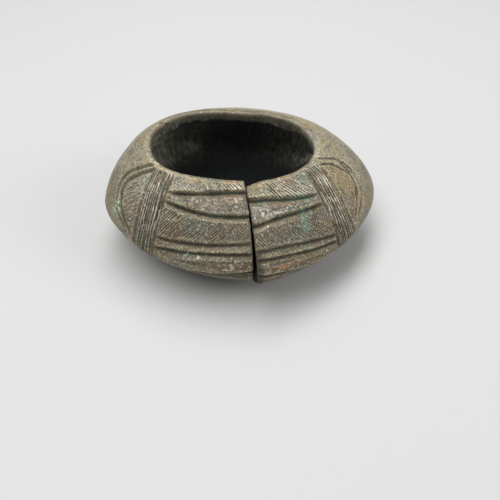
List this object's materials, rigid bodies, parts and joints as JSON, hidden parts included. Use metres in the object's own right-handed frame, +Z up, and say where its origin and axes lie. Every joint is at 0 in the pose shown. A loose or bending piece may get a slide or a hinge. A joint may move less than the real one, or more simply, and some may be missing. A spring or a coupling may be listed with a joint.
{
  "type": "manilla",
  "caption": "Hollow-cast currency bracelet in copper alloy: an oval ring with a sharp outward keel, rounded rims, a narrow front slit and carved bands, arcs and panels.",
  "frame": {"origin": "middle of the overall box, on the surface that the bracelet stands on", "axes": "+Z up through the wrist opening, -Y towards the slit, +X to the right as seen from the slit"},
  "size_m": [0.1058, 0.0904, 0.042],
  "materials": {
    "patinated_bronze": "cast, with a dull grey-brown patina and traces of green"
  },
  "bodies": {
    "root": {"manilla": "patinated_bronze"}
  },
  "joints": []
}
